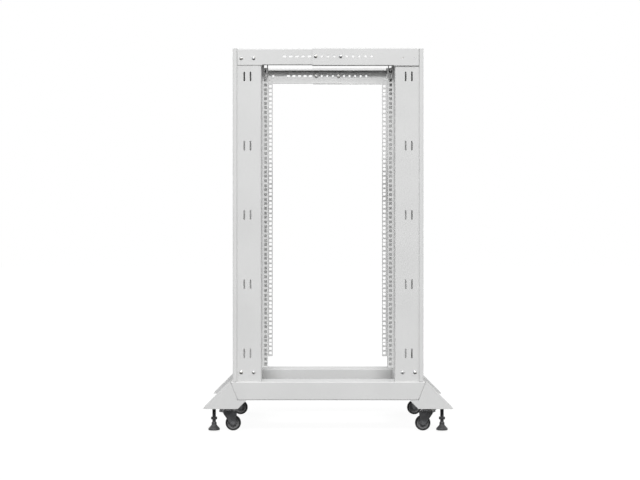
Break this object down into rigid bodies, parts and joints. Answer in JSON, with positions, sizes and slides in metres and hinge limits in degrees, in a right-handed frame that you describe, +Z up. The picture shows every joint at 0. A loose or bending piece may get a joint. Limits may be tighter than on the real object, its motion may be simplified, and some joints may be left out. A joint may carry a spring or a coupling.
{
  "type": "open-frame equipment rack",
  "caption": "Open two-frame 19-inch equipment rack: slotted posts with square-hole rails, telescopic top beams, box base with splayed legs, swivel casters and levelling feet.",
  "frame": {"origin": "on the floor, below the centre of the base", "axes": "+X along the depth towards the rear, +Y towards the left side, +Z up; the right side faces -Y"},
  "size_m": [0.8046, 0.6088, 1.2352],
  "materials": {
    "frame_paint": "fine textured powder coat, light grey",
    "caster_black_steel": "black coated steel",
    "tyre_rubber": "matt dark rubber",
    "hub_plastic": "matt dark moulded plastic",
    "foot_black_plastic": "matt moulded plastic",
    "foot_black_steel": "black oxide steel",
    "zinc_steel": "zinc plated"
  },
  "bodies": {
    "root": {"front_right_post": "frame_paint", "front_right_leg": "frame_paint", "front_right_caster_plate": "caster_black_steel", "front_left_post": "frame_paint", "front_left_leg": "frame_paint", "front_left_caster_plate": "caster_black_steel", "rear_right_post": "frame_paint", "rear_right_leg": "frame_paint", "rear_right_caster_plate": "caster_black_steel", "rear_left_post": "frame_paint", "rear_left_leg": "frame_paint", "rear_left_caster_plate": "caster_black_steel", "right_beam_front_half": "frame_paint", "right_beam_rear_half": "frame_paint", "right_base_beam": "frame_paint", "left_beam_front_half": "frame_paint", "left_beam_rear_half": "frame_paint", "left_base_beam": "frame_paint", "front_top_cross_beam": "frame_paint", "front_base_cross_beam": "frame_paint", "rear_top_cross_beam": "frame_paint", "rear_base_cross_beam": "frame_paint", "beam_packers": "frame_paint", "post_foot_brackets": "frame_paint", "caster_kingpins": "zinc_steel", "swivel_bearings": "zinc_steel", "foot_weld_nuts": "zinc_steel", "post_top_bolts": "zinc_steel", "post_foot_bolts": "zinc_steel", "bracket_bolts": "zinc_steel", "beam_joint_bolts": "zinc_steel", "base_joint_bolts": "zinc_steel", "caster_bolts": "zinc_steel", "frame_nuts": "zinc_steel"},
    "front_right_fork": {"front_right_caster_fork": "caster_black_steel", "front_right_axle": "caster_black_steel"},
    "front_right_wheel": {"front_right_wheel_hub": "hub_plastic", "front_right_tyre": "tyre_rubber"},
    "front_right_pad": {"front_right_foot_pad": "foot_black_plastic"},
    "front_right_screw": {"front_right_foot_screw": "foot_black_steel"},
    "front_left_fork": {"front_left_caster_fork": "caster_black_steel", "front_left_axle": "caster_black_steel"},
    "front_left_wheel": {"front_left_wheel_hub": "hub_plastic", "front_left_tyre": "tyre_rubber"},
    "front_left_pad": {"front_left_foot_pad": "foot_black_plastic"},
    "front_left_screw": {"front_left_foot_screw": "foot_black_steel"},
    "rear_right_fork": {"rear_right_caster_fork": "caster_black_steel", "rear_right_axle": "caster_black_steel"},
    "rear_right_wheel": {"rear_right_wheel_hub": "hub_plastic", "rear_right_tyre": "tyre_rubber"},
    "rear_right_pad": {"rear_right_foot_pad": "foot_black_plastic"},
    "rear_right_screw": {"rear_right_foot_screw": "foot_black_steel"},
    "rear_left_fork": {"rear_left_caster_fork": "caster_black_steel", "rear_left_axle": "caster_black_steel"},
    "rear_left_wheel": {"rear_left_wheel_hub": "hub_plastic", "rear_left_tyre": "tyre_rubber"},
    "rear_left_pad": {"rear_left_foot_pad": "foot_black_plastic"},
    "rear_left_screw": {"rear_left_foot_screw": "foot_black_steel"}
  },
  "joints": [
    {"name": "front_right_swivel", "type": "hinge", "parent": "root", "child": "front_right_fork", "pos_m": [-0.3225, -0.2315, 0.064], "axis": [0, 0, 1], "continuous": true},
    {"name": "front_right_wheel_spin", "type": "hinge", "parent": "front_right_fork", "child": "front_right_wheel", "pos_m": [-0.308, -0.2315, 0.0252], "axis": [0, 1, 0], "continuous": true},
    {"name": "front_right_foot_travel", "type": "slide", "parent": "root", "child": "front_right_pad", "axis": [0, 0, 1], "range_m": [-0.0112, 0.0049]},
    {"name": "front_right_foot_turn", "type": "hinge", "parent": "front_right_pad", "child": "front_right_screw", "pos_m": [-0.368, -0.2635, 0.0441], "axis": [0, 0, 1], "range_deg": [-2306, 1010]},
    {"name": "front_left_swivel", "type": "hinge", "parent": "root", "child": "front_left_fork", "pos_m": [-0.3225, 0.2315, 0.064], "axis": [0, 0, 1], "continuous": true},
    {"name": "front_left_wheel_spin", "type": "hinge", "parent": "front_left_fork", "child": "front_left_wheel", "pos_m": [-0.308, 0.2315, 0.0252], "axis": [0, 1, 0], "continuous": true},
    {"name": "front_left_foot_travel", "type": "slide", "parent": "root", "child": "front_left_pad", "axis": [0, 0, 1], "range_m": [-0.0112, 0.0049]},
    {"name": "front_left_foot_turn", "type": "hinge", "parent": "front_left_pad", "child": "front_left_screw", "pos_m": [-0.368, 0.2635, 0.0441], "axis": [0, 0, 1], "range_deg": [-2306, 1010]},
    {"name": "rear_right_swivel", "type": "hinge", "parent": "root", "child": "rear_right_fork", "pos_m": [0.3225, -0.2315, 0.064], "axis": [0, 0, 1], "continuous": true},
    {"name": "rear_right_wheel_spin", "type": "hinge", "parent": "rear_right_fork", "child": "rear_right_wheel", "pos_m": [0.308, -0.2315, 0.0252], "axis": [0, 1, 0], "continuous": true},
    {"name": "rear_right_foot_travel", "type": "slide", "parent": "root", "child": "rear_right_pad", "axis": [0, 0, 1], "range_m": [-0.0112, 0.0049]},
    {"name": "rear_right_foot_turn", "type": "hinge", "parent": "rear_right_pad", "child": "rear_right_screw", "pos_m": [0.368, -0.2635, 0.0441], "axis": [0, 0, 1], "range_deg": [-2306, 1010]},
    {"name": "rear_left_swivel", "type": "hinge", "parent": "root", "child": "rear_left_fork", "pos_m": [0.3225, 0.2315, 0.064], "axis": [0, 0, 1], "continuous": true},
    {"name": "rear_left_wheel_spin", "type": "hinge", "parent": "rear_left_fork", "child": "rear_left_wheel", "pos_m": [0.308, 0.2315, 0.0252], "axis": [0, 1, 0], "continuous": true},
    {"name": "rear_left_foot_travel", "type": "slide", "parent": "root", "child": "rear_left_pad", "axis": [0, 0, 1], "range_m": [-0.0112, 0.0049]},
    {"name": "rear_left_foot_turn", "type": "hinge", "parent": "rear_left_pad", "child": "rear_left_screw", "pos_m": [0.368, 0.2635, 0.0441], "axis": [0, 0, 1], "range_deg": [-2306, 1010]}
  ],
  "couplings": [
    {"joint": "front_right_foot_turn", "follows": "front_right_foot_travel", "rad_per_m": 3590.4},
    {"joint": "front_left_foot_turn", "follows": "front_left_foot_travel", "rad_per_m": 3590.4},
    {"joint": "rear_right_foot_turn", "follows": "rear_right_foot_travel", "rad_per_m": 3590.4},
    {"joint": "rear_left_foot_turn", "follows": "rear_left_foot_travel", "rad_per_m": 3590.4}
  ]
}
